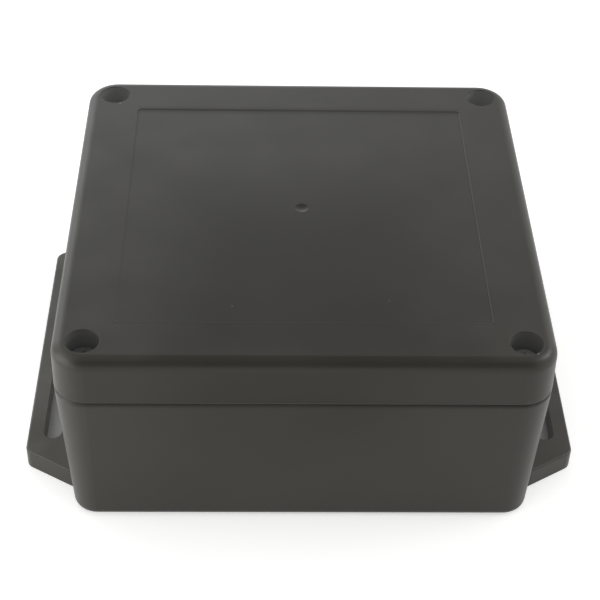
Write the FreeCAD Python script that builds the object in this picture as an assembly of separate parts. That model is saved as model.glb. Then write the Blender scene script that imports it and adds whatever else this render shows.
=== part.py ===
import FreeCAD, Part
import math
import os

# Square moulded enclosure with a screwed lid and two slotted mounting flanges, closed.
# Origin: centre of the underside. +X to the right, +Y to the back, +Z up. Millimetres and degrees.

# Outer form
body_width = 120.0            # along X, at the parting line
body_depth = 120.0            # along Y, at the parting line
base_height = 41.5
lid_height = 13.2
parting_gap = 0.1             # shadow line round the rim, because the lid lands on its screw pillars
corner_radius = 8.3           # at the parting line; the upright corners are cones
base_draft = 3.0
lid_draft = 1.0
lid_edge_radius = 3.0
base_edge_radius = 2.3
rim_edge_radius = 0.8         # both sides of the parting line

# Thicknesses inside
floor_thickness = 3.0
lid_skin = 2.8                # under the recess
cavity_draft = 0.8
cavity_edge_radius = 1.0      # where the hollow's walls meet its flat end

# Square recess in the lid's top, and the gate pit at its middle
recess_margin = 14.65         # from the side at the parting line to the recess
recess_depth = 0.25
recess_corner_radius = 1.0
recess_wall_lean = 50.0       # from upright
recess_lip_radius = 0.5
gate_pit_width = 3.6
gate_pit_depth = 0.3

# Lid screws, cheese head with a cross recess, and the washer held under each head
screw_inset = 7.75            # from each side at the parting line to the screw's axis
screw_radius = 2.0
screw_length = 16.0
screw_point_chamfer = 0.5
head_radius = 3.5
head_height = 2.6
head_edge_radius = 0.5
head_sunk = 4.8               # lid's top down to the head's top
drive_span = 4.3
drive_blade = 0.9
drive_depth = 1.7
drive_taper = 0.35            # share of the span left at the bottom of the cross
washer_radius = 3.8
washer_thickness = 0.5
washer_play = 0.1             # round the screw
counterbore_radius = 4.0
counterbore_lip_radius = 0.2
screw_play = 0.25             # round the screw, in the lid

# Brass inserts, pressed into the base's pillars
insert_radius = 2.8
insert_length = 8.0
insert_band = 2.6             # length of each knurled band, at both ends
insert_waist_depth = 0.3
insert_bite = 0.05            # how far the knurl presses into the pillar
thread_play = 0.05            # between the screw's crests and the insert's bore
point_room = 1.5              # below the screw's point
point_play = 0.4              # round the screw, below the insert

# Seal: a tongue on the base's rim presses a soft ring in the lid's groove
seal_inset = 3.2              # from the side at the parting line to the seal's middle line
seal_hug_radius = 6.2         # of the middle line, round each screw
seal_bend_radius = 4.0        # of the middle line, where it leaves the side to pass the screw
tongue_width = 1.4
tongue_height = 2.0
tongue_edge_radius = 0.3
tongue_ledge = 0.3            # rim left inside the tongue
groove_width = 2.6
groove_depth = 3.6
groove_lip = 1.3              # lid wall left inside the groove
seal_side_play = 0.1
seal_edge_radius = 0.5
pad_radius = 4.5              # flat pad round each screw, which lands on the pillar

# Flanges at the floor, on the left and the right
flange_reach = 11.5           # beyond the side at the parting line
flange_thickness = 5.5
flange_half_length = 40.4     # to the outer corner, before it is rounded
flange_end_slope = 31.0       # of the slanted ends, from the X axis
flange_corner_radius = 3.0
flange_edge_radius = 0.5
slot_width = 4.8
slot_length = 72.0
slot_margin = 4.0             # from the slot to the flange's outer edge

# Board bosses on the floor and board guides on the front and back walls
boss_pitch_x = 80.0
boss_pitch_y = 80.0
boss_radius = 3.5
boss_height = 6.0
boss_pilot_radius = 1.25
boss_pilot_depth = 6.8
guide_pitch = 30.0            # between neighbouring guides
guide_count = 3               # on each wall
guide_gap = 2.0               # for the board's edge
guide_rib = 1.4
guide_stand = 1.6             # off the wall at the floor
guide_drop = 9.0              # rim down to the top of the ribs


def slope(degrees):
    return math.tan(math.radians(degrees))


# Worked out from the above
half_x = body_width / 2
half_y = body_depth / 2
screw_x = half_x - screw_inset
screw_y = half_y - screw_inset
foot_x = half_x - slope(base_draft) * base_height
foot_y = half_y - slope(base_draft) * base_height
lid_bottom = base_height + parting_gap
lid_top = lid_bottom + lid_height
head_top = lid_top - head_sunk
washer_top = head_top - head_height
washer_bottom = washer_top - washer_thickness
corners = {"front_left": (-1, -1), "front_right": (1, -1), "back_left": (-1, 1), "back_right": (1, 1)}
overcut = 1.0                 # how far a cutting tool runs past the face that it opens
near = 1e-4                   # two places closer than this are the same


def at(x, y, z):
    return FreeCAD.Vector(x, y, z)


def prism(wire, height):
    return Part.Face(wire).extrude(at(0, 0, height))


def post(radius, x, y, low, high):
    return Part.makeCylinder(radius, high - low, at(x, y, low))


def edges_at(shape, height):
    """The edges that lie wholly in the level plane at this height."""
    level = [e for e in shape.Edges if e.BoundBox.ZLength < near]
    return [e for e in level if abs(e.BoundBox.ZMin - height) < near]


def upright_edges(shape):
    """The edges that climb from the lowest face to the highest."""
    return [e for e in shape.Edges if e.BoundBox.ZLength > shape.BoundBox.ZLength - near]


def wedge(low_x, low_y, high_x, high_y, low, high):
    """A block between two level rectangles, given by their half sides."""
    block = Part.makeWedge(-low_x, low, -low_y, -high_y, -high_x, low_x, high, low_y, high_y, high_x)
    block.rotate(at(0, 0, 0), at(1, 0, 0), 90)
    return block


def tapered_block(low_x, low_y, high_x, high_y, low, high, radius):
    """The same block with conical upright corners, which have this radius at the block's wider end."""
    centre_x = max(low_x, high_x) - radius
    centre_y = max(low_y, high_y) - radius
    block = wedge(low_x, centre_y, high_x, centre_y, low, high)
    parts = [wedge(centre_x, low_y, centre_x, high_y, low, high)]
    for sx, sy in corners.values():
        foot = at(sx * centre_x, sy * centre_y, low)
        parts.append(Part.makeCone(low_x - centre_x, high_x - centre_x, high - low, foot))
    return block.fuse(parts).removeSplitter()


def mirrored_arc(side_x, side_y, centre, radius, angles, z):
    """An arc in the back right corner, by its first, middle and last angle, mirrored to any corner."""
    points = []
    for angle in angles:
        x = centre[0] + radius * math.cos(angle)
        y = centre[1] + radius * math.sin(angle)
        points.append(at(side_x * x, side_y * y, z))
    return Part.Arc(*points).toShape()


def seal_outline(offset, z):
    """The seal's line, which follows the sides and passes inside every screw, moved outward by the offset."""
    wall_x = half_x - seal_inset + offset
    wall_y = half_y - seal_inset + offset
    bend = seal_bend_radius + offset
    hug = seal_hug_radius - offset
    aside = screw_inset - seal_inset - seal_bend_radius
    run = math.sqrt((bend + hug) ** 2 - aside ** 2)
    turn = math.atan2(run, -aside)
    quarter = math.pi / 2
    edges = []
    for sx, sy in corners.values():
        side_angles = (0, turn / 2, turn)
        screw_angles = (math.pi + turn, math.pi + quarter / 2, 3 * quarter - turn)
        end_angles = (quarter - turn, quarter - turn / 2, quarter)
        edges.append(mirrored_arc(sx, sy, (wall_x - bend, screw_y - run), bend, side_angles, z))
        edges.append(mirrored_arc(sx, sy, (screw_x, screw_y), hug, screw_angles, z))
        edges.append(mirrored_arc(sx, sy, (screw_x - run, wall_y - bend), bend, end_angles, z))
    for side in (-1, 1):
        x, x_end = side * wall_x, screw_x - run
        y, y_end = side * wall_y, screw_y - run
        edges.append(Part.LineSegment(at(x, -y_end, z), at(x, y_end, z)).toShape())
        edges.append(Part.LineSegment(at(-x_end, y, z), at(x_end, y, z)).toShape())
    return Part.Wire(Part.__sortEdges__(edges))


def seal_band(width, low, high):
    """A ring of this width along the seal's line."""
    outer = prism(seal_outline(width / 2, low), high - low)
    inner = prism(seal_outline(-width / 2, low), high - low)
    return outer.cut(inner)


def drafted_cavity(offset, mouth, end):
    """The hollow inside the seal's line: this offset at its mouth, drafted inward to its end."""
    direction = 1 if mouth > end else -1
    at_mouth = seal_outline(offset + slope(cavity_draft) * overcut, mouth + direction * overcut)
    at_end = seal_outline(offset - slope(cavity_draft) * abs(mouth - end), end)
    hollow = Part.makeLoft([at_mouth, at_end], True, True)
    return hollow.makeFillet(cavity_edge_radius, edges_at(hollow, end))


def flange_blank(side):
    """One flange before its slot is cut: a trapezoid plate with rounded outer corners."""
    outer = half_x + flange_reach
    inner = foot_x - base_edge_radius - overcut
    root_half_length = flange_half_length + slope(flange_end_slope) * (outer - inner)
    half_outline = [(inner, -root_half_length), (outer, -flange_half_length)]
    outline = half_outline + [(x, -y) for x, y in reversed(half_outline)]
    points = [at(side * x, y, 0) for x, y in outline]
    plate = prism(Part.makePolygon(points + points[:1]), flange_thickness)
    outer_corners = [e for e in upright_edges(plate) if abs(e.CenterOfMass.x) > outer - near]
    plate = plate.makeFillet(flange_corner_radius, outer_corners)
    rim = [e for e in edges_at(plate, flange_thickness) if abs(e.CenterOfMass.x) > inner + near]
    return plate.makeFillet(flange_edge_radius, rim)


def flange_slot(side):
    radius = slot_width / 2
    middle = side * (half_x + flange_reach - slot_margin - radius)
    straight = slot_length / 2 - radius
    low, high = -overcut, flange_thickness + overcut
    slot = Part.makeBox(slot_width, 2 * straight, high - low, at(middle - radius, -straight, low))
    for end in (-1, 1):
        slot = slot.fuse(post(radius, middle, end * straight, low, high))
    return slot.removeSplitter()


def board_boss(x, y):
    top = floor_thickness + boss_height
    boss = post(boss_radius, x, y, floor_thickness / 2, top)
    return boss, post(boss_pilot_radius, x, y, top - boss_pilot_depth, top + overcut)


def board_guides():
    """Pairs of ribs that hold a board's edge, on the front and back walls."""
    floor_offset = slope(cavity_draft) * (base_height - floor_thickness) + tongue_width / 2 + tongue_ledge
    wall = half_y - seal_inset - floor_offset
    depth = guide_stand + (foot_y - wall) / 2
    height = base_height - guide_drop - floor_thickness / 2
    ribs = []
    for number in range(guide_count):
        middle = (number - (guide_count - 1) / 2) * guide_pitch
        for x in (middle - guide_gap / 2 - guide_rib, middle + guide_gap / 2):
            rib = Part.makeBox(guide_rib, depth, height, at(x, wall - guide_stand, floor_thickness / 2))
            ribs.append(rib)
            ribs.append(rib.mirror(at(0, 0, 0), at(0, 1, 0)))
    return ribs


def make_base():
    base = tapered_block(foot_x, foot_y, half_x, half_y, 0, base_height, corner_radius)
    base = base.makeFillet(base_edge_radius, edges_at(base, 0))
    base = base.makeFillet(rim_edge_radius, edges_at(base, base_height))
    base = base.fuse([flange_blank(-1), flange_blank(1)])
    base = base.cut([flange_slot(-1), flange_slot(1)])
    base = base.cut(drafted_cavity(-tongue_width / 2 - tongue_ledge, base_height, floor_thickness))

    tongue = seal_band(tongue_width, base_height - rim_edge_radius, base_height + tongue_height)
    tongue = tongue.makeFillet(tongue_edge_radius, edges_at(tongue, base_height + tongue_height))
    bosses = []
    pilots = []
    for sx, sy in corners.values():
        boss, pilot = board_boss(sx * boss_pitch_x / 2, sy * boss_pitch_y / 2)
        bosses.append(boss)
        pilots.append(pilot)
    base = base.fuse([tongue] + bosses + board_guides())

    hole_radius = insert_radius - insert_bite
    point = washer_top - screw_length - point_room
    for sx, sy in corners.values():
        x, y = sx * screw_x, sy * screw_y
        pilots.append(post(hole_radius, x, y, base_height - insert_length, base_height + overcut))
        pilots.append(post(screw_radius + point_play, x, y, point, base_height))
    return base.cut(pilots).removeSplitter()


def is_counterbore_mouth(edge):
    """Whether this edge runs round the top of a counterbore, which may dip into the lid's rounded edge."""
    if edge.BoundBox.ZMin < lid_top - lid_edge_radius / 2:
        return False
    from_screw = [math.hypot(abs(v.X) - screw_x, abs(v.Y) - screw_y) for v in edge.Vertexes]
    return all(abs(distance - counterbore_radius) < near for distance in from_screw)


def make_lid():
    top_x = half_x - slope(lid_draft) * lid_height
    top_y = half_y - slope(lid_draft) * lid_height
    lid = tapered_block(half_x, half_y, top_x, top_y, lid_bottom, lid_top, corner_radius)
    lid = lid.makeFillet(lid_edge_radius, edges_at(lid, lid_top))
    lid = lid.makeFillet(rim_edge_radius, edges_at(lid, lid_bottom))

    recess_x = half_x - recess_margin
    recess_y = half_y - recess_margin
    wall_lean = slope(recess_wall_lean)
    recess_floor = lid_top - recess_depth
    recess = tapered_block(recess_x - wall_lean * recess_depth, recess_y - wall_lean * recess_depth,
                           recess_x + wall_lean * overcut, recess_y + wall_lean * overcut,
                           recess_floor, lid_top + overcut, recess_corner_radius + wall_lean * overcut)
    lid = lid.cut(recess)
    lip = [e for e in edges_at(lid, lid_top) if abs(e.CenterOfMass.x) < recess_x + near]
    lip = [e for e in lip if abs(e.CenterOfMass.y) < recess_y + near]
    lid = lid.makeFillet(recess_lip_radius, lip)
    pit_radius = (gate_pit_width ** 2 / 4 + gate_pit_depth ** 2) / (2 * gate_pit_depth)
    pit = Part.makeSphere(pit_radius, at(0, 0, recess_floor - gate_pit_depth + pit_radius))
    lid = lid.cut(pit)

    hollow_offset = -groove_width / 2 - groove_lip
    lid = lid.cut(drafted_cavity(hollow_offset, lid_bottom, recess_floor - lid_skin))
    lid = lid.cut(seal_band(groove_width, lid_bottom - overcut, lid_bottom + groove_depth))
    pads = []
    bores = []
    for sx, sy in corners.values():
        x, y = sx * screw_x, sy * screw_y
        pads.append(post(pad_radius, x, y, base_height, washer_bottom))
        bores.append(post(counterbore_radius, x, y, washer_bottom, lid_top + overcut))
        bores.append(post(screw_radius + screw_play, x, y, base_height - overcut, washer_bottom + overcut))
    lid = lid.fuse(pads).cut(bores).removeSplitter()
    return lid.makeFillet(counterbore_lip_radius, [e for e in lid.Edges if is_counterbore_mouth(e)])


def make_gasket():
    low = base_height + tongue_height
    high = lid_bottom + groove_depth
    ring = seal_band(groove_width - 2 * seal_side_play, low, high)
    return ring.makeFillet(seal_edge_radius, edges_at(ring, low))


def rectangle(x, y, length_x, length_y, z):
    loop = ((-1, -1), (1, -1), (1, 1), (-1, 1), (-1, -1))
    return Part.makePolygon([at(x + sx * length_x / 2, y + sy * length_y / 2, z) for sx, sy in loop])


def make_screw(x, y):
    head = post(head_radius, x, y, washer_top, head_top)
    head = head.makeFillet(head_edge_radius, edges_at(head, head_top))
    point = washer_top - screw_length
    shank = post(screw_radius, x, y, point, washer_top)
    shank = shank.makeChamfer(screw_point_chamfer, edges_at(shank, point))
    screw = head.fuse(shank).removeSplitter()
    blades = []
    for long_x, long_y in ((drive_span, drive_blade), (drive_blade, drive_span)):
        mouth = rectangle(x, y, long_x, long_y, head_top)
        bottom = rectangle(x, y, long_x * drive_taper, long_y * drive_taper, head_top - drive_depth)
        blades.append(Part.makeLoft([bottom, mouth], True, True))
    return screw.cut(blades)


def make_washer(x, y):
    washer = post(washer_radius, x, y, washer_bottom, washer_top)
    return washer.cut(post(screw_radius + washer_play, x, y, washer_bottom - overcut, washer_top + overcut))


def make_insert(x, y):
    """A turned brass sleeve with a knurled band at each end and a waist between them."""
    low = base_height - insert_length
    sleeve = post(insert_radius, x, y, low, base_height)
    waist_low, waist_high = low + insert_band, base_height - insert_band
    waist = post(insert_radius + overcut, x, y, waist_low, waist_high)
    waist = waist.cut(post(insert_radius - insert_waist_depth, x, y, waist_low, waist_high))
    bore = post(screw_radius + thread_play, x, y, low - overcut, base_height + overcut)
    return sleeve.cut([waist, bore])


pieces = {"base": make_base(), "lid": make_lid(), "lid_gasket": make_gasket()}
for corner_name, (side_x, side_y) in corners.items():
    place = (side_x * screw_x, side_y * screw_y)
    pieces["lid_screw_" + corner_name] = make_screw(*place)
    pieces["screw_washer_" + corner_name] = make_washer(*place)
    pieces["threaded_insert_" + corner_name] = make_insert(*place)

os.makedirs("parts", exist_ok=True)
for name, shape in pieces.items():
    print(name, "valid", shape.isValid(), "solids", len(shape.Solids), "volume", round(shape.Volume, 1))
    shape.exportStep("parts/" + name + ".step")
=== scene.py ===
import math

import bmesh
import bpy
from mathutils import Matrix, Vector


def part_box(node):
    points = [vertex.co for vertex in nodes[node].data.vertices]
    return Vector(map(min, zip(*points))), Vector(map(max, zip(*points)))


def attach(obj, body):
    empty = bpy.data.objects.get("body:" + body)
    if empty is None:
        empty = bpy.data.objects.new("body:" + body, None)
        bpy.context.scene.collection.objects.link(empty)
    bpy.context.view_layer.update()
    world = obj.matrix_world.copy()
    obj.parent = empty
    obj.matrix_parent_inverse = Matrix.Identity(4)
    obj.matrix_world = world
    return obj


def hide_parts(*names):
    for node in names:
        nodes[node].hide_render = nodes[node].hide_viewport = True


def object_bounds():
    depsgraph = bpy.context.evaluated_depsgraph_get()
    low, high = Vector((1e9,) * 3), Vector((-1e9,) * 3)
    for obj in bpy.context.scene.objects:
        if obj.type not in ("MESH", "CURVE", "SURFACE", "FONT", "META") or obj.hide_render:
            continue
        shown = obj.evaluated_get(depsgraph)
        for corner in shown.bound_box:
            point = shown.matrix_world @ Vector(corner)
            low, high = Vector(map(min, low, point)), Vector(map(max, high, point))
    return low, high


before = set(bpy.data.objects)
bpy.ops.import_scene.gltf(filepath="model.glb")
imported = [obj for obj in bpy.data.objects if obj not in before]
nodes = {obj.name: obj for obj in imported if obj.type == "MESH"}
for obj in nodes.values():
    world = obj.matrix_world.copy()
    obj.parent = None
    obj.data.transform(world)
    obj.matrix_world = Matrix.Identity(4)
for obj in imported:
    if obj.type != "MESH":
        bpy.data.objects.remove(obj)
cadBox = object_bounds()
print("frame loaded:", len(nodes), "nodes")

mm = 0.001  # the scene is in metres, and what is noted as mm is multiplied by this
corners = ("front_left", "front_right", "back_left", "back_right")
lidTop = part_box("lid")[1].z
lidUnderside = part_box("lid")[0].z
bodyReach = cadBox[1].y / mm  # mm from the middle to the lid's sides, the same along X and Y
flangeTip = cadBox[1].x / mm  # mm from the middle to the flanges' outer ends


# Small helpers that the groups and materials share

def feed(tree, socket, value):
    # value is a socket to link from, or what an unlinked socket is set to
    if isinstance(value, bpy.types.NodeSocket):
        tree.links.new(value, socket)
    else:
        socket.default_value = value


def addNode(tree, kind, inputs=None, **settings):
    node = tree.nodes.new(kind)
    for name, value in settings.items():
        setattr(node, name, value)
    for name, value in (inputs or {}).items():
        feed(tree, node.inputs[name], value)
    return node


def calc(tree, operation, first, second=0.0):
    return addNode(tree, "ShaderNodeMath", {0: first, 1: second}, operation=operation).outputs[0]


def inMetres(tree, value):
    return calc(tree, "MULTIPLY", value, mm)


def sumOfSquares(tree, offsets):
    return calc(tree, "ADD", *(calc(tree, "MULTIPLY", offset, offset) for offset in offsets))


def blendColours(tree, factor, first, second, mode="MIX"):
    inputs = {0: factor, 6: first, 7: second}
    return addNode(tree, "ShaderNodeMix", inputs, data_type="RGBA", blend_type=mode).outputs[2]


def remap(tree, value, low, high, newLow=0.0, newHigh=1.0, shape="LINEAR"):
    inputs = {"Value": value, "From Min": low, "From Max": high, "To Min": newLow, "To Max": newHigh}
    return addNode(tree, "ShaderNodeMapRange", inputs, interpolation_type=shape).outputs["Result"]


def splitPlace(tree, place):
    return addNode(tree, "ShaderNodeSeparateXYZ", {"Vector": place}).outputs


def addNoise(tree, place, scale, detail):
    inputs = {"Vector": place, "Scale": scale, "Detail": detail}
    return addNode(tree, "ShaderNodeTexNoise", inputs).outputs["Fac"]


def newGroup(name, inputs, outputs):
    # inputs are (name, socket type, default), outputs are (name, socket type)
    tree = bpy.data.node_groups.new(name, "ShaderNodeTree")
    for label, kind, default in inputs:
        socket = tree.interface.new_socket(name=label, in_out="INPUT", socket_type=kind)
        if default is not None:
            socket.default_value = default
    for label, kind in outputs:
        tree.interface.new_socket(name=label, in_out="OUTPUT", socket_type=kind)
    return tree, tree.nodes.new("NodeGroupInput").outputs, tree.nodes.new("NodeGroupOutput").inputs


def placeGroup(tree, group, inputs):
    return addNode(tree, "ShaderNodeGroup", inputs, node_tree=group).outputs


def newMaterial(name):
    material = bpy.data.materials.new(name)
    material.use_nodes = True
    tree = material.node_tree
    tree.nodes.clear()
    shader = tree.nodes.new("ShaderNodeBsdfPrincipled")
    end = tree.nodes.new("ShaderNodeOutputMaterial")
    tree.links.new(shader.outputs[0], end.inputs["Surface"])
    place = tree.nodes.new("ShaderNodeTexCoord").outputs["Object"]
    return material, tree, shader, place


def dress(thing, material):
    thing.data.materials.clear()
    thing.data.materials.append(material)


def turnToward(thing, target):
    thing.rotation_euler = (Vector(target) - thing.location).to_track_quat("-Z", "Y").to_euler()


# Shared effects

floatKind = "NodeSocketFloat"
vectorKind = "NodeSocketVector"
noiseSpan = (0.3, 0.7)  # the middle part of a noise's range, which the effects use
patchShares = (0.7, 1.3)  # how much thinner and thicker than even the dust-coloured painted-light film gets


def makeMouldGrain():
    # the fine matt texture of a spark-eroded mould, as a height
    tree, given, out = newGroup(
        "mouldGrain",
        [("Place", vectorKind, None), ("Grain Size", floatKind, 0.4), ("Fine Share", floatKind, 0.7),
         ("Wide Share", floatKind, 0.5), ("Wide Scale", floatKind, 0.37)],
        [("Height", floatKind)],
    )
    scale = calc(tree, "DIVIDE", 1 / mm, given["Grain Size"])
    fine = addNoise(tree, given["Place"], scale, 2.0)
    wide = addNoise(tree, given["Place"], calc(tree, "MULTIPLY", scale, given["Wide Scale"]), 1.0)
    fineHeight = calc(tree, "MULTIPLY", fine, given["Fine Share"])
    wideHeight = calc(tree, "MULTIPLY", wide, given["Wide Share"])
    tree.links.new(calc(tree, "ADD", fineHeight, wideHeight), out["Height"])
    return tree


def makeSoftMottle():
    # slow changes of tone and gloss, as handling and moulding leave them
    tree, given, out = newGroup(
        "softMottle",
        [("Place", vectorKind, None), ("Patch Size", floatKind, 30.0), ("Seed", floatKind, 0.0)],
        [("Mask", floatKind)],
    )
    shift = addNode(tree, "ShaderNodeCombineXYZ", {"X": given["Seed"], "Y": given["Seed"]}).outputs[0]
    moved = addNode(tree, "ShaderNodeVectorMath", {0: given["Place"], 1: shift}, operation="ADD").outputs[0]
    noise = addNoise(tree, moved, calc(tree, "DIVIDE", 1 / mm, given["Patch Size"]), 3.0)
    tree.links.new(remap(tree, noise, *noiseSpan), out["Mask"])
    return tree


def makePaintedLightFilm():
    # painted light: a thin patchy dust-coloured film that pales what faces up, from one squarish ring about
    # the middle outward
    tree, given, out = newGroup(
        "paintedLightFilm",
        [("Place", vectorKind, None), ("Normal", vectorKind, None), ("Patch Size", floatKind, 12.0),
         ("Middle Y", floatKind, 0.0), ("Clear Reach", floatKind, 0.0), ("Full Reach", floatKind, 40.0),
         ("Steep", floatKind, 0.75), ("Level", floatKind, 0.99)],
        [("Mask", floatKind)],
    )
    facing = splitPlace(tree, given["Normal"])["Z"]
    up = remap(tree, facing, given["Steep"], given["Level"], shape="SMOOTHSTEP")
    noise = addNoise(tree, given["Place"], calc(tree, "DIVIDE", 1 / mm, given["Patch Size"]), 4.0)
    patches = remap(tree, noise, *noiseSpan, *patchShares)
    part = splitPlace(tree, given["Place"])
    ahead = calc(tree, "SUBTRACT", part["Y"], inMetres(tree, given["Middle Y"]))
    away = calc(tree, "MAXIMUM", calc(tree, "ABSOLUTE", part["X"]), calc(tree, "ABSOLUTE", ahead))
    ends = (inMetres(tree, given["Clear Reach"]), inMetres(tree, given["Full Reach"]))
    covered = remap(tree, away, *ends, shape="SMOOTHSTEP")
    tree.links.new(calc(tree, "MULTIPLY", calc(tree, "MULTIPLY", up, patches), covered), out["Mask"])
    return tree


def makeBoreMask():
    # 1 inside the four screw holes, how deep the place is, and 1 in the back half of the box
    tree, given, out = newGroup(
        "boreMask",
        [("Place", vectorKind, None), ("Axis X", floatKind, 50.0), ("Axis Y", floatKind, 50.0),
         ("Radius", floatKind, 4.0), ("Top", floatKind, 50.0), ("Full Depth", floatKind, 5.0)],
        [("Mask", floatKind), ("Depth", floatKind), ("Back", floatKind)],
    )
    part = splitPlace(tree, given["Place"])
    offsets = []
    for name in ("X", "Y"):
        axis = inMetres(tree, given["Axis " + name])
        offsets.append(calc(tree, "SUBTRACT", calc(tree, "ABSOLUTE", part[name]), axis))
    distance = calc(tree, "SQRT", sumOfSquares(tree, offsets))
    inside = calc(tree, "LESS_THAN", distance, inMetres(tree, given["Radius"]))
    drop = calc(tree, "SUBTRACT", inMetres(tree, given["Top"]), part["Z"])
    below = calc(tree, "GREATER_THAN", drop, 0.0)
    tree.links.new(calc(tree, "MULTIPLY", inside, below), out["Mask"])
    tree.links.new(remap(tree, drop, 0.0, inMetres(tree, given["Full Depth"])), out["Depth"])
    tree.links.new(calc(tree, "GREATER_THAN", part["Y"], 0.0), out["Back"])
    return tree


def makeBlockMask():
    # 1 inside a level block and its mirror image across X = 0, both centred on Y = 0
    tree, given, out = newGroup(
        "blockMask",
        [("Place", vectorKind, None), ("Middle X", floatKind, 60.0), ("Half Width", floatKind, 2.0),
         ("Reach Y", floatKind, 30.0), ("Top", floatKind, 5.0)],
        [("Mask", floatKind)],
    )
    part = splitPlace(tree, given["Place"])
    aside = calc(tree, "SUBTRACT", calc(tree, "ABSOLUTE", part["X"]), inMetres(tree, given["Middle X"]))
    within = calc(tree, "LESS_THAN", calc(tree, "ABSOLUTE", aside), inMetres(tree, given["Half Width"]))
    along = calc(tree, "LESS_THAN", calc(tree, "ABSOLUTE", part["Y"]), inMetres(tree, given["Reach Y"]))
    below = calc(tree, "LESS_THAN", part["Z"], inMetres(tree, given["Top"]))
    tree.links.new(calc(tree, "MULTIPLY", calc(tree, "MULTIPLY", within, along), below), out["Mask"])
    return tree


def makeBandMask():
    # 1 where one coordinate has the middle value, fading to 0 on both sides
    tree, given, out = newGroup(
        "bandMask",
        [("Along", floatKind, 0.0), ("Middle", floatKind, 40.0), ("Half Width", floatKind, 1.0)],
        [("Mask", floatKind)],
    )
    away = calc(tree, "ABSOLUTE", calc(tree, "SUBTRACT", given["Along"], inMetres(tree, given["Middle"])))
    reach = inMetres(tree, given["Half Width"])
    tree.links.new(remap(tree, away, reach, 0.0, shape="SMOOTHSTEP"), out["Mask"])
    return tree


def makeSpot():
    # one small soft-edged spot on a level face
    tree, given, out = newGroup(
        "spot",
        [("Place", vectorKind, None), ("Spot X", floatKind, 0.0), ("Spot Y", floatKind, 0.0),
         ("Width", floatKind, 0.5)],
        [("Mask", floatKind)],
    )
    part = splitPlace(tree, given["Place"])
    offsets = []
    for name in ("X", "Y"):
        offsets.append(calc(tree, "SUBTRACT", part[name], inMetres(tree, given["Spot " + name])))
    distance = calc(tree, "SQRT", sumOfSquares(tree, offsets))
    reach = calc(tree, "MULTIPLY", given["Width"], mm / 2)
    tree.links.new(remap(tree, distance, reach, 0.0, shape="SMOOTHSTEP"), out["Mask"])
    return tree


mouldGrain = makeMouldGrain()
softMottle = makeSoftMottle()
paintedLightFilm = makePaintedLightFilm()
boreMask = makeBoreMask()
blockMask = makeBlockMask()
bandMask = makeBandMask()
spot = makeSpot()
print("shared effects built")


# Moulded housing: base and lid in the same satin black plastic, with the dust on it, and painted light and
# painted shade

black = (0.0, 0.0, 0.0, 1.0)
# a dust colour: for real dust specks, and for painted light on the housing
dustAndPaintedLightColour = (0.22, 0.213, 0.195, 1.0)
housing = {
    "colour": (0.0248, 0.0235, 0.0196, 1.0),
    "palerColour": (0.0288, 0.0274, 0.0232, 1.0),
    "mottleSize": 26.0,  # mm
    "baseSeed": 0.013,  # shifts of the mottle, so that base and lid differ
    "lidSeed": 0.057,
    "gloss": 0.36,  # roughness of the satin surface
    "glossChange": 0.04,
    "grainSize": 0.35,  # mm
    "grainHeight": 0.006 * mm,
    "specularLevel": 0.27,
    "sheen": 0.095,  # the soft light rim of a fine dusty texture
    "sheenRoughness": 0.35,
}
paintedFilms = {  # painted light in the dust colour, more on the left: its shares at the left and the right side, and how many mm out it starts and is full
    "lid": {"shares": (0.11, 0.07), "middleY": -25.0, "reach": (14.0, 54.0), "patchSize": 14.0},
    "flange": {"shares": (0.35, 0.18), "middleY": 0.0, "reach": (56.5, 60.0), "patchSize": 14.0},
}
flangePaintedLight = {  # painted light: an even dust-coloured lightening on every side of the flanges, with the same two shares
    "shares": (0.01, 0.05),
    "block": {"Middle X": flangeTip - 5.5, "Half Width": 5.9, "Reach Y": 50.0, "Top": 5.7},  # mm
}
# painted light: lightens the shaded walls inside the flange slots
slotPaintedLight = {
    "shares": (1.0, 1.0),
    "block": {"Middle X": flangeTip - 6.4, "Half Width": 2.45, "Reach Y": 36.1, "Top": 5.1},
}
# painted light: lightens the shaded screw holes, more deep down and more in the back holes
borePaintedLight = {
    "shares": (0.35, 1.0),  # at the top of the screw holes and deep down
    "colours": ((0.18, 0.18, 0.175, 1.0), (0.33, 0.33, 0.33, 1.0)),  # in the front and the back holes
    "radius": 4.15,  # mm
    "topDrop": 0.15,  # mm below the lid's face
    "fullDepth": 5.0,
}
seamShading = {  # the parting line: painted shade in a soft band along it, and painted light in its core
    "shade": {"share": 0.33, "halfWidth": 1.8},  # of black, and in mm
    "coreLight": {"share": 0.09, "halfWidth": 0.7},
    "fade": (58.5, 49.0),  # mm from the middle, where the painted shade and light end at the corners and where they are full
}
recess = {
    "margin": 14.65,  # mm from the lid's side to the recess in its top
    "lineEnd": 0.15,  # mm that the lines run on past the recess's corners
    "lipRoughness": 0.85,
}
# backShade and rightShade paint shade along the recess's back and right edges, and the dust-coloured back
# line paints light on its back wall; dullLip changes only roughness
recessLines = {  # each line's side, and its place in mm past the recess's edge on that side
    "dullLip": {"side": "front", "past": 0.15, "halfWidth": 0.7},  # rubbed dull
    "backShade": {"side": "back", "past": -0.4, "halfWidth": 2.3, "share": 0.42, "film": black},
    "rightShade": {"side": "right", "past": -0.15, "halfWidth": 0.5, "share": 0.33, "film": black},
    "backEdgeLight": {"side": "back", "past": -0.1, "halfWidth": 0.5, "share": 0.24, "film": dustAndPaintedLightColour},
}
sides = {"front": ("Y", -1), "back": ("Y", 1), "right": ("X", 1)}
# two dust specks on the lid, and two painted glints on the lips of the front right and back left screw
# holes
specksAndGlints = {
    "frontLeftSpeck": (-17.4, -39.2, 0.5),  # x, y and width in mm
    "frontRightSpeck": (20.6, -37.0, 0.45),
    "frontLipGlint": (54.4, -55.9, 0.8),
    "backLipGlint": (-50.6, 47.9, 0.9),
}


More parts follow.
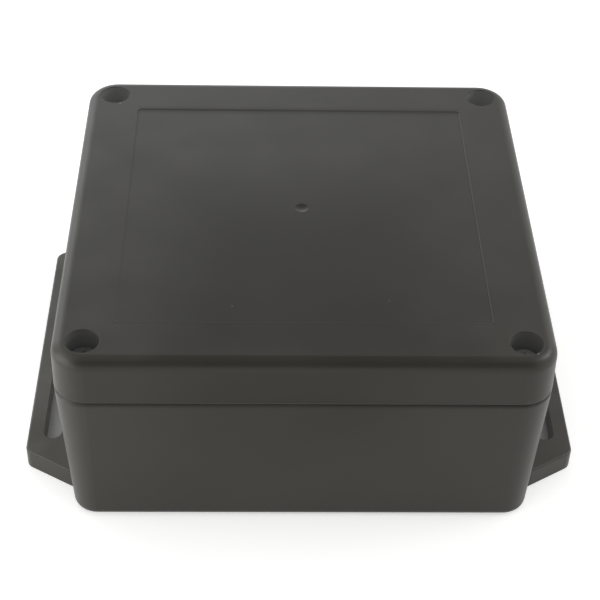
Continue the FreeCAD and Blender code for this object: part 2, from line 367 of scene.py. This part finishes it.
def fromLeftToRight(tree, place, leftValue, rightValue):
    across = splitPlace(tree, place)["X"]
    return remap(tree, across, -bodyReach * mm, bodyReach * mm, leftValue, rightValue)


# painted light: pales up-facing faces with a dust-coloured film
def addPaintedFilm(tree, place, colour, film):
    clear, full = film["reach"]
    facts = {"Place": place, "Normal": place.node.outputs["Normal"], "Patch Size": film["patchSize"],
             "Middle Y": film["middleY"], "Clear Reach": clear, "Full Reach": full}
    mask = placeGroup(tree, paintedLightFilm, facts)["Mask"]
    mask = calc(tree, "MULTIPLY", mask, fromLeftToRight(tree, place, *film["shares"]))
    return blendColours(tree, mask, colour, dustAndPaintedLightColour)


# painted light: pales a block of the base, the flanges or their slots, in the dust colour
def addBlockLight(tree, place, colour, coreLight):
    mask = placeGroup(tree, blockMask, {"Place": place, **coreLight["block"]})["Mask"]
    mask = calc(tree, "MULTIPLY", mask, fromLeftToRight(tree, place, *coreLight["shares"]))
    return blendColours(tree, mask, colour, dustAndPaintedLightColour)


# painted light inside the four screw holes
def addBoreLight(tree, place, colour):
    low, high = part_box("lid_screw_back_right")
    facts = {
        "Place": place,
        "Axis X": (low.x + high.x) / 2 / mm,
        "Axis Y": (low.y + high.y) / 2 / mm,
        "Radius": borePaintedLight["radius"],
        "Top": lidTop / mm - borePaintedLight["topDrop"],
        "Full Depth": borePaintedLight["fullDepth"],
    }
    bore = placeGroup(tree, boreMask, facts)
    mask = calc(tree, "MULTIPLY", bore["Mask"], remap(tree, bore["Depth"], 0.0, 1.0, *borePaintedLight["shares"]))
    return blendColours(tree, mask, colour, blendColours(tree, bore["Back"], *borePaintedLight["colours"]))


# painted shade along the parting line, with painted light in its core
def addSeamShading(tree, place, colour):
    part = splitPlace(tree, place)
    end, full = seamShading["fade"]
    fade = remap(tree, calc(tree, "ABSOLUTE", part["X"]), end * mm, full * mm, shape="SMOOTHSTEP")
    for line, film in ((seamShading["shade"], black), (seamShading["coreLight"], dustAndPaintedLightColour)):
        facts = {"Along": part["Z"], "Middle": lidUnderside / mm, "Half Width": line["halfWidth"]}
        mask = calc(tree, "MULTIPLY", placeGroup(tree, bandMask, facts)["Mask"], line["share"])
        colour = blendColours(tree, calc(tree, "MULTIPLY", mask, fade), colour, film)
    return colour


def recessLine(tree, place, line):
    # 1 along one edge of the recess, as long as that edge
    part = splitPlace(tree, place)
    axis, sign = sides[line["side"]]
    other = "X" if axis == "Y" else "Y"
    edge = bodyReach - recess["margin"]
    facts = {"Along": part[axis], "Middle": sign * (edge + line["past"]), "Half Width": line["halfWidth"]}
    band = placeGroup(tree, bandMask, facts)["Mask"]
    within = calc(tree, "LESS_THAN", calc(tree, "ABSOLUTE", part[other]), (edge + recess["lineEnd"]) * mm)
    return calc(tree, "MULTIPLY", band, within)


# painted shade and painted light along the recess's edges
def addRecessShading(tree, place, colour):
    for name in ("backShade", "rightShade", "backEdgeLight"):
        line = recessLines[name]
        mask = calc(tree, "MULTIPLY", recessLine(tree, place, line), line["share"])
        colour = blendColours(tree, mask, colour, line["film"])
    return colour


# small pale spots: dust specks and painted glints
def addSpecksAndGlints(tree, place, colour):
    for x, y, width in specksAndGlints.values():
        mask = placeGroup(tree, spot, {"Place": place, "Spot X": x, "Spot Y": y, "Width": width})["Mask"]
        colour = blendColours(tree, mask, colour, dustAndPaintedLightColour)
    return colour


def markBase(tree, place, colour, roughness):
    colour = addPaintedFilm(tree, place, colour, paintedFilms["flange"])
    colour = addBlockLight(tree, place, colour, flangePaintedLight)
    colour = addBlockLight(tree, place, colour, slotPaintedLight)
    return colour, roughness


def markLid(tree, place, colour, roughness):
    colour = addPaintedFilm(tree, place, colour, paintedFilms["lid"])
    for addMarks in (addRecessShading, addBoreLight, addSpecksAndGlints):
        colour = addMarks(tree, place, colour)
    dull = recessLine(tree, place, recessLines["dullLip"])
    return colour, remap(tree, dull, 0.0, 1.0, roughness, recess["lipRoughness"])


def makeHousingPlastic(name, seed, mark):
    material, tree, shader, place = newMaterial(name)
    mottle = {"Place": place, "Patch Size": housing["mottleSize"], "Seed": seed}
    tone = placeGroup(tree, softMottle, mottle)["Mask"]
    colour = blendColours(tree, tone, housing["colour"], housing["palerColour"])
    low = housing["gloss"] - housing["glossChange"]
    high = housing["gloss"] + housing["glossChange"]
    colour, roughness = mark(tree, place, colour, remap(tree, tone, 0.0, 1.0, low, high))
    tree.links.new(addSeamShading(tree, place, colour), shader.inputs["Base Color"])
    tree.links.new(roughness, shader.inputs["Roughness"])
    grain = placeGroup(tree, mouldGrain, {"Place": place, "Grain Size": housing["grainSize"]})["Height"]
    facts = {"Height": grain, "Strength": 1.0, "Distance": housing["grainHeight"]}
    tree.links.new(addNode(tree, "ShaderNodeBump", facts).outputs[0], shader.inputs["Normal"])
    shader.inputs["Specular IOR Level"].default_value = housing["specularLevel"]
    shader.inputs["Sheen Weight"].default_value = housing["sheen"]
    shader.inputs["Sheen Roughness"].default_value = housing["sheenRoughness"]
    return material


dress(nodes["base"], makeHousingPlastic("basePlastic", housing["baseSeed"], markBase))
dress(nodes["lid"], makeHousingPlastic("lidPlastic", housing["lidSeed"], markLid))
print("housing dressed")


# Metal and rubber pieces

hardware = {
    "steelColour": (0.55, 0.55, 0.54, 1.0),
    "steelRoughness": 0.32,
    "brassColour": (0.68, 0.48, 0.20, 1.0),
    "brassRoughness": 0.3,
    "metalPatch": 2.5,  # mm, size of the metals' tarnished patches
    "tarnish": 0.8,  # their tone, as a share of the bright metal's
    "roughnessChange": (0.06, -0.04),  # added to the roughness, from tarnished to bright
    "rubberColour": (0.045, 0.045, 0.047, 1.0),
    "rubberPaler": 1.5,  # the palest tone, as a share of the colour
    "rubberRoughness": (0.75, 0.85),
    "rubberPatch": 8.0,  # mm
}


def scaleColour(colour, share):
    return tuple(share * part for part in colour[:3]) + (1.0,)


def addTarnish(tree, place, colour):
    tone = placeGroup(tree, softMottle, {"Place": place, "Patch Size": hardware["metalPatch"]})["Mask"]
    return tone, blendColours(tree, tone, scaleColour(colour, hardware["tarnish"]), colour)


def makeMetal(name, colour, roughness):
    material, tree, shader, place = newMaterial(name)
    tone, tarnished = addTarnish(tree, place, colour)
    tree.links.new(tarnished, shader.inputs["Base Color"])
    ends = [roughness + change for change in hardware["roughnessChange"]]
    tree.links.new(remap(tree, tone, 0.0, 1.0, *ends), shader.inputs["Roughness"])
    shader.inputs["Metallic"].default_value = 1.0
    return material


def makeRubber():
    material, tree, shader, place = newMaterial("sealRubber")
    tone = placeGroup(tree, softMottle, {"Place": place, "Patch Size": hardware["rubberPatch"]})["Mask"]
    colour = hardware["rubberColour"]
    blend = blendColours(tree, tone, colour, scaleColour(colour, hardware["rubberPaler"]))
    tree.links.new(blend, shader.inputs["Base Color"])
    tree.links.new(remap(tree, tone, 0.0, 1.0, *hardware["rubberRoughness"]), shader.inputs["Roughness"])
    return material


steel = makeMetal("zincSteel", hardware["steelColour"], hardware["steelRoughness"])
brass = makeMetal("insertBrass", hardware["brassColour"], hardware["brassRoughness"])
dress(nodes["lid_gasket"], makeRubber())
for corner in corners:
    dress(nodes["screw_washer_" + corner], steel)
    dress(nodes["threaded_insert_" + corner], brass)
print("hardware dressed")


# Lid screws: the head as the frame has it, with a cut thread in place of the plain shank

screwThread = {
    "pitch": 0.7 * mm,
    "depth": 0.43 * mm,
    "crestFlat": 0.125,  # shares of the pitch
    "rootFlat": 0.25,
    "plainNeck": 1.4 * mm,  # under the head
    "runOut": 0.7 * mm,
    "pointChamfer": 0.5 * mm,
    "inHead": 0.3 * mm,  # how far the threaded shank reaches into the head
    "seatRoom": 0.01 * mm,  # what lies further than this below the head's seat is the plain shank
    "stepsRound": 40,
    "stepsPerTurn": 8,
}
# a dust film over the screw heads, with a tone per screw that is painted light for the light each head
# catches
headDustAndLight = {
    "share": 0.85,  # of dust over the heads
    "roughness": 0.7,
    "tones": {"front_left": 0.06, "front_right": 0.13, "back_left": 0.2, "back_right": 0.2},
}


def threadRadius(crest, z, angle, seat, point):
    # a right-hand thread: its crest climbs as the angle grows
    turns = z / screwThread["pitch"] - angle / math.tau
    fromRoot = abs(turns - math.floor(turns) - 0.5) * 2
    slope = (fromRoot - screwThread["rootFlat"]) / (1 - screwThread["rootFlat"] - screwThread["crestFlat"])
    started = (seat - screwThread["plainNeck"] - z) / screwThread["runOut"]
    depth = screwThread["depth"] * min(max(started, 0.0), 1.0)
    radius = crest - depth * (1 - min(max(slope, 0.0), 1.0))
    return min(radius, crest - screwThread["pointChamfer"] + z - point)


def addThread(mesh, centre, crest, seat, point):
    end = seat + screwThread["inHead"]
    rise = screwThread["pitch"] / screwThread["stepsPerTurn"]
    around = screwThread["stepsRound"]
    rings = []
    for level in range(math.ceil((end - point) / rise) + 1):
        z = min(point + level * rise, end)
        ring = []
        for step in range(around):
            angle = math.tau * step / around
            radius = threadRadius(crest, z, angle, seat, point)
            x = centre.x + radius * math.cos(angle)
            y = centre.y + radius * math.sin(angle)
            ring.append(mesh.verts.new((x, y, z)))
        rings.append(ring)
    for lower, upper in zip(rings, rings[1:]):
        for step in range(around):
            after = (step + 1) % around
            mesh.faces.new((lower[step], lower[after], upper[after], upper[step]))
    mesh.faces.new(reversed(rings[0]))


def makeScrewSteel(corner, seat):
    # bright below the head, with a dust film from the head's underside up, whose tone per screw is painted
    # light
    material, tree, shader, place = newMaterial("screwSteel_" + corner)
    height = splitPlace(tree, place)["Z"]
    film = calc(tree, "MULTIPLY", calc(tree, "GREATER_THAN", height, seat), headDustAndLight["share"])
    tarnished = addTarnish(tree, place, hardware["steelColour"])[1]
    filmColour = (headDustAndLight["tones"][corner],) * 3 + (1.0,)
    tree.links.new(blendColours(tree, film, tarnished, filmColour), shader.inputs["Base Color"])
    roughness = remap(tree, film, 0.0, 1.0, hardware["steelRoughness"], headDustAndLight["roughness"])
    tree.links.new(roughness, shader.inputs["Roughness"])
    tree.links.new(calc(tree, "SUBTRACT", 1.0, film), shader.inputs["Metallic"])
    return material


def makeScrew(corner):
    name = "lid_screw_" + corner
    low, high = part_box(name)
    centre = (low + high) / 2
    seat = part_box("screw_washer_" + corner)[1].z
    mesh = bmesh.new()
    mesh.from_mesh(nodes[name].data)
    shank = [v for v in mesh.verts if v.co.z < seat - screwThread["seatRoom"]]
    crest = max(math.hypot(v.co.x - centre.x, v.co.y - centre.y) for v in shank)
    bmesh.ops.delete(mesh, geom=shank, context="VERTS")
    addThread(mesh, centre, crest, seat, low.z)
    data = bpy.data.meshes.new("threadedScrew_" + corner)
    mesh.to_mesh(data)
    mesh.free()
    screw = bpy.data.objects.new("threadedScrew_" + corner, data)
    bpy.context.scene.collection.objects.link(screw)
    dress(screw, makeScrewSteel(corner, seat))
    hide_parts(name)
    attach(screw, "screw_" + corner)


for corner in corners:
    makeScrew(corner)
print("screws threaded")


# Floor, dark cards and world

room = {
    "floorColour": (0.9, 0.9, 0.895, 1.0),
    "floorRoughness": 0.9,
    "floorSpecular": 0.1,
    "floorDrop": 0.1 * mm,  # so that it doesn't touch the box's underside
    "floorReach": 6.0,
    "shadedColours": ((0.62, 0.62, 0.61, 1.0), (0.48, 0.48, 0.475, 1.0)),  # under left and right slot
    "shadedReach": ((flangeTip - 2.0) * mm, 38.0 * mm),  # along X and Y from the middle
    "floorLift": 0.17,  # added light that only glossy rays see
    "floorWhite": 0.37,  # the same for camera and transmission rays
    "ambient": (0.78, 0.78, 0.775, 1.0),
    "aimHeight": 0.03,  # what lamps and cards face, above the floor
}
frontPatch = {  # a part of the floor that the front face mirrors darker than it is
    "middle": (0.0, -0.115),
    "reach": (0.055, 0.045),
    "tone": 0.65,
}
darkCards = {
    "frontCard": {"at": (0.0, -1.05, 0.85), "size": (1.8, 1.0)},
    "ceilingCard": {"at": (0.1, 0.0, 1.08), "size": (1.2, 2.12)},
}
cardColour = (0.02, 0.02, 0.02, 1.0)


def raysSeen(tree):
    # 1 for camera and transmission rays, and 1 for glossy rays
    path = tree.nodes.new("ShaderNodeLightPath").outputs
    return calc(tree, "MAXIMUM", path["Is Camera Ray"], path["Is Transmission Ray"]), path["Is Glossy Ray"]


def makeFloor():
    bpy.ops.mesh.primitive_plane_add(size=room["floorReach"] * 2, location=(0, 0, -room["floorDrop"]))
    floor = bpy.context.object
    floor.name = "floor"
    material, tree, shader, place = newMaterial("paleFloor")
    straight, glossy = raysSeen(tree)
    part = splitPlace(tree, place)
    within, offsets = [], []
    for name, reach in zip(("X", "Y"), room["shadedReach"]):
        within.append(calc(tree, "LESS_THAN", calc(tree, "ABSOLUTE", part[name]), reach))
    for name, middle, reach in zip(("X", "Y"), frontPatch["middle"], frontPatch["reach"]):
        offsets.append(calc(tree, "DIVIDE", calc(tree, "SUBTRACT", part[name], middle), reach))
    under = calc(tree, "MULTIPLY", *within)
    shaded = blendColours(tree, calc(tree, "GREATER_THAN", part["X"], 0.0), *room["shadedColours"])
    near = remap(tree, sumOfSquares(tree, offsets), 1.0, 0.0, shape="SMOOTHSTEP")
    mirrored = calc(tree, "MULTIPLY", near, glossy)
    kept = remap(tree, mirrored, 0.0, 1.0, 1.0, frontPatch["tone"])
    grey = addNode(tree, "ShaderNodeCombineColor", {"Red": kept, "Green": kept, "Blue": kept}).outputs[0]
    bare = blendColours(tree, 1.0, room["floorColour"], grey, "MULTIPLY")
    tree.links.new(blendColours(tree, under, bare, shaded), shader.inputs["Base Color"])
    white = calc(tree, "MULTIPLY", straight, room["floorWhite"])
    shine = calc(tree, "MULTIPLY", calc(tree, "SUBTRACT", glossy, mirrored), room["floorLift"])
    uncovered = calc(tree, "SUBTRACT", 1.0, under)
    lift = calc(tree, "MULTIPLY", uncovered, calc(tree, "ADD", white, shine))
    tree.links.new(lift, shader.inputs["Emission Color"])
    shader.inputs["Emission Strength"].default_value = 1.0
    shader.inputs["Roughness"].default_value = room["floorRoughness"]
    shader.inputs["Specular IOR Level"].default_value = room["floorSpecular"]
    dress(floor, material)


def makeDarkCards():
    # studio flags that only reflections see: they darken the lid's front edge and the front of its top
    material, _, shader, _ = newMaterial("blackCloth")
    shader.inputs["Base Color"].default_value = cardColour
    shader.inputs["Roughness"].default_value = 1.0
    shader.inputs["Specular IOR Level"].default_value = 0.0
    for name, facts in darkCards.items():
        bpy.ops.mesh.primitive_plane_add(size=1.0)
        card = bpy.context.object
        card.name = name
        card.scale = (*facts["size"], 1.0)
        card.location = facts["at"]
        turnToward(card, (facts["at"][0], 0.0, room["aimHeight"]))
        card.visible_camera = False
        card.visible_diffuse = False
        card.visible_shadow = False
        dress(card, material)


def makeWorld():
    world = bpy.data.worlds.new("studio")
    bpy.context.scene.world = world
    world.use_nodes = True
    tree = world.node_tree
    tree.nodes.clear()
    colour = blendColours(tree, calc(tree, "ADD", *raysSeen(tree)), room["ambient"], (1.0, 1.0, 1.0, 1.0))
    light = addNode(tree, "ShaderNodeBackground", {"Color": colour, "Strength": 1.0})
    end = tree.nodes.new("ShaderNodeOutputWorld")
    tree.links.new(light.outputs[0], end.inputs["Surface"])


makeFloor()
makeDarkCards()
makeWorld()
print("room built")


# Lights

softboxes = {  # places and sizes in metres, power in watts, and what each lamp adds: gloss, colour or both
    "leftBox": {"at": (-0.40, -0.12, 0.20), "size": (0.30, 0.30), "power": 0.9, "lights": "gloss"},
    "leftStrip": {"at": (-0.40, -0.12, 0.032), "size": (0.30, 0.044), "power": 1.8, "lights": "colour"},
    "lowBox": {"at": (-0.45, -0.45, 0.14), "size": (0.30, 0.20), "power": 0.32, "lights": "both"},
    "rightBox": {"at": (0.90, 0.00, 0.32), "size": (0.6, 0.4), "power": 2.8, "lights": "colour"},
    "rightShine": {"at": (0.90, 0.00, 0.32), "size": (0.6, 0.4), "power": 1.0, "lights": "gloss"},
    "rightStrip": {"at": (0.40, -0.12, 0.032), "size": (0.30, 0.044), "power": 0.25, "lights": "colour"},
    "cornerBox": {"at": (0.547, 0.114, 0.518), "size": (0.25, 0.25), "power": 1.6, "lights": "gloss"},
    "backBox": {"at": (-0.55, 1.00, 0.40), "size": (1.4, 0.5), "power": 2.4, "lights": "both"},
}
lampTints = {"backBox": (0.92, 0.98, 1.05)}  # the light from behind is slightly cool


def makeSoftbox(name, facts):
    light = bpy.data.lights.new(name, "AREA")
    light.shape = "RECTANGLE"
    light.size, light.size_y = facts["size"]
    light.energy = facts["power"]
    light.color = lampTints.get(name, (1.0, 1.0, 1.0))
    holder = bpy.data.objects.new(name, light)
    holder.location = facts["at"]
    holder.visible_diffuse = facts["lights"] != "gloss"
    holder.visible_glossy = facts["lights"] != "colour"
    turnToward(holder, (0.0, 0.0, room["aimHeight"]))
    bpy.context.scene.collection.objects.link(holder)


for name, facts in softboxes.items():
    makeSoftbox(name, facts)
print("lights placed")


# Camera at the photograph's viewing angle

view = {
    "turn": math.radians(-1.970),  # about the upright axis, from the front
    "tilt": math.radians(40.721),  # above the horizon
    "roll": math.radians(1.605),
    "distance": 398.75 * mm,  # from the middle of the lid's top
    "sideways": -0.424 * mm,
    "upwards": -24.225 * mm,
    "lens": 91.853,  # mm, as the sensor's width
    "sensor": 36.0,
    "clip": (0.01, 50.0),
}


def makeCamera():
    turn, tilt, roll = view["turn"], view["tilt"], view["roll"]
    back = Vector((math.sin(turn) * math.cos(tilt), -math.cos(turn) * math.cos(tilt), math.sin(tilt)))
    level = Vector((math.cos(turn), math.sin(turn), 0.0))
    upright = back.cross(level)
    right = level * math.cos(roll) + upright * math.sin(roll)
    up = upright * math.cos(roll) - level * math.sin(roll)
    eye = Vector((0, 0, lidTop)) + back * view["distance"] + right * view["sideways"] + up * view["upwards"]
    lens = bpy.data.cameras.new("photoCamera")
    lens.lens = view["lens"]
    lens.sensor_width = view["sensor"]
    lens.clip_start, lens.clip_end = view["clip"]
    camera = bpy.data.objects.new("photoCamera", lens)
    camera.matrix_world = Matrix.Translation(eye) @ Matrix((right, up, back)).transposed().to_4x4()
    bpy.context.scene.collection.objects.link(camera)
    bpy.context.scene.camera = camera


makeCamera()
bpy.context.scene.view_settings.view_transform = "Standard"
print("camera placed")
